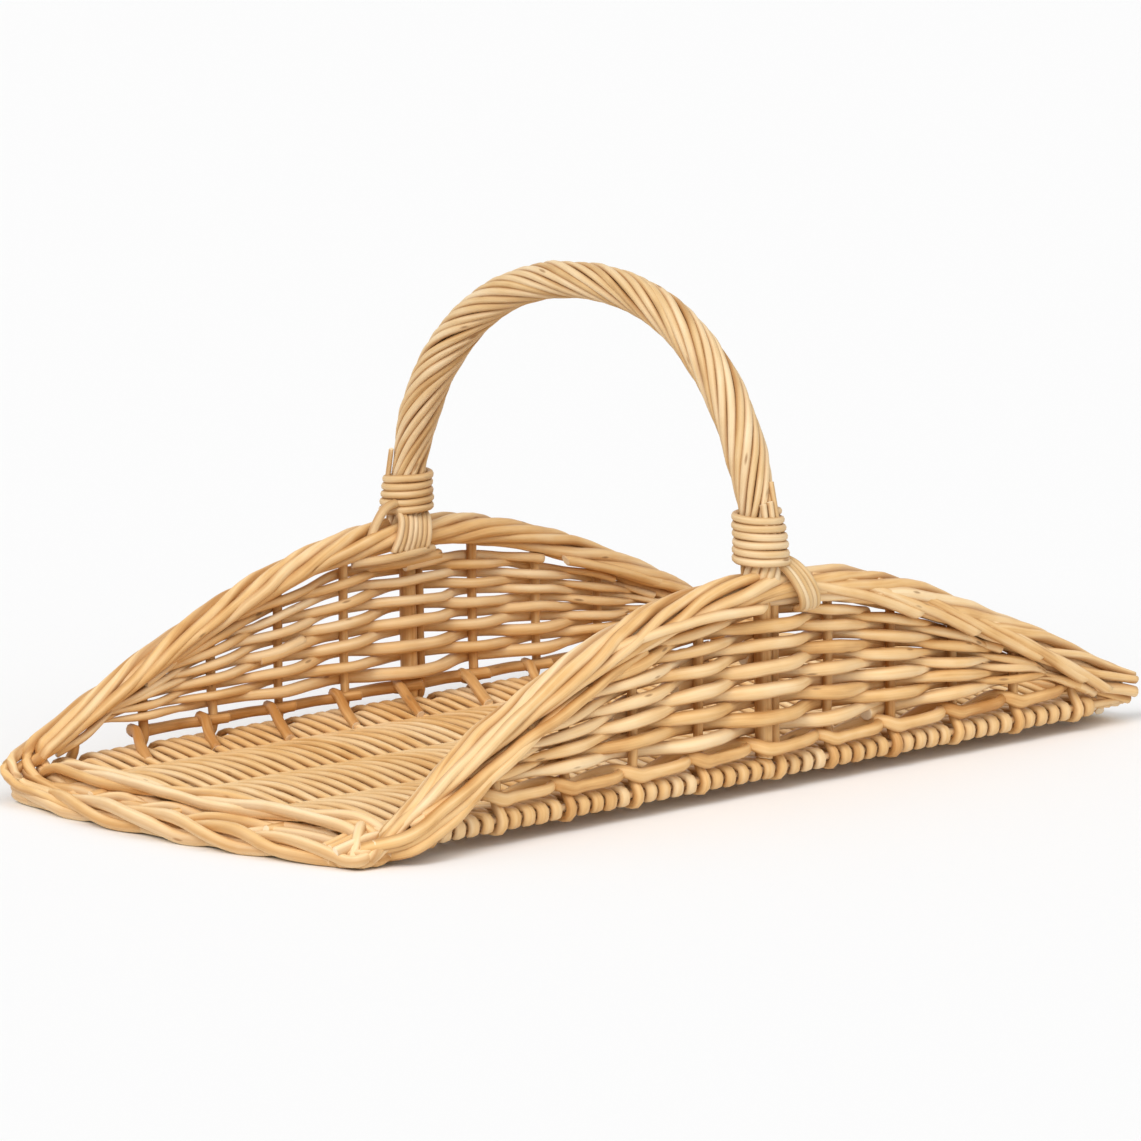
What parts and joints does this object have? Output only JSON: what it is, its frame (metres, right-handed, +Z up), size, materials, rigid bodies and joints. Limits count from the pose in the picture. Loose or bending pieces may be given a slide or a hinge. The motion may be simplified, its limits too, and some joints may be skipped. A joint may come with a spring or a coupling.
{
  "type": "garden trug",
  "caption": "Long shallow willow garden trug with open ends, arched woven side walls and a fixed roped bow handle, for carrying cut flowers and garden produce.",
  "frame": {"origin": "on the floor, under the centre of the tray", "axes": "+X along the tray, +Y across it towards the far wall, +Z up towards the handle"},
  "size_m": [0.598, 0.3041, 0.268],
  "materials": {
    "willow_base": "satin buff willow",
    "willow_stake": "satin buff willow",
    "willow_row": "satin buff willow",
    "willow_border": "satin buff willow",
    "willow_handle": "satin buff willow",
    "willow_binding": "satin buff willow"
  },
  "bodies": {
    "root": {"base_stick_1": "willow_base", "base_stick_2": "willow_base", "base_stick_3": "willow_base", "base_stick_4": "willow_base", "base_stick_5": "willow_base", "base_weave": "willow_base", "left_end_border": "willow_border", "right_end_border": "willow_border", "near_stake_01": "willow_stake", "near_stake_02": "willow_stake", "near_stake_03": "willow_stake", "near_stake_04": "willow_stake", "near_stake_05": "willow_stake", "near_stake_06": "willow_stake", "near_stake_07": "willow_stake", "near_stake_08": "willow_stake", "near_stake_09": "willow_stake", "near_stake_10": "willow_stake", "near_stake_11": "willow_stake", "near_lock_rods": "willow_border", "near_row_01": "willow_row", "near_row_02": "willow_row", "near_row_03": "willow_row", "near_row_04": "willow_row", "near_row_05": "willow_row", "near_row_06": "willow_row", "near_row_07": "willow_row", "near_row_08": "willow_row", "near_row_09": "willow_row", "near_row_10": "willow_row", "near_row_11": "willow_row", "near_rim": "willow_border", "far_stake_01": "willow_stake", "far_stake_02": "willow_stake", "far_stake_03": "willow_stake", "far_stake_04": "willow_stake", "far_stake_05": "willow_stake", "far_stake_06": "willow_stake", "far_stake_07": "willow_stake", "far_stake_08": "willow_stake", "far_stake_09": "willow_stake", "far_stake_10": "willow_stake", "far_stake_11": "willow_stake", "far_lock_rods": "willow_border", "far_row_01": "willow_row", "far_row_02": "willow_row", "far_row_03": "willow_row", "far_row_04": "willow_row", "far_row_05": "willow_row", "far_row_06": "willow_row", "far_row_07": "willow_row", "far_row_08": "willow_row", "far_row_09": "willow_row", "far_row_10": "willow_row", "far_row_11": "willow_row", "far_rim": "willow_border", "handle_core": "willow_handle", "handle_roping": "willow_handle", "near_binding": "willow_binding", "far_binding": "willow_binding"}
  },
  "joints": []
}
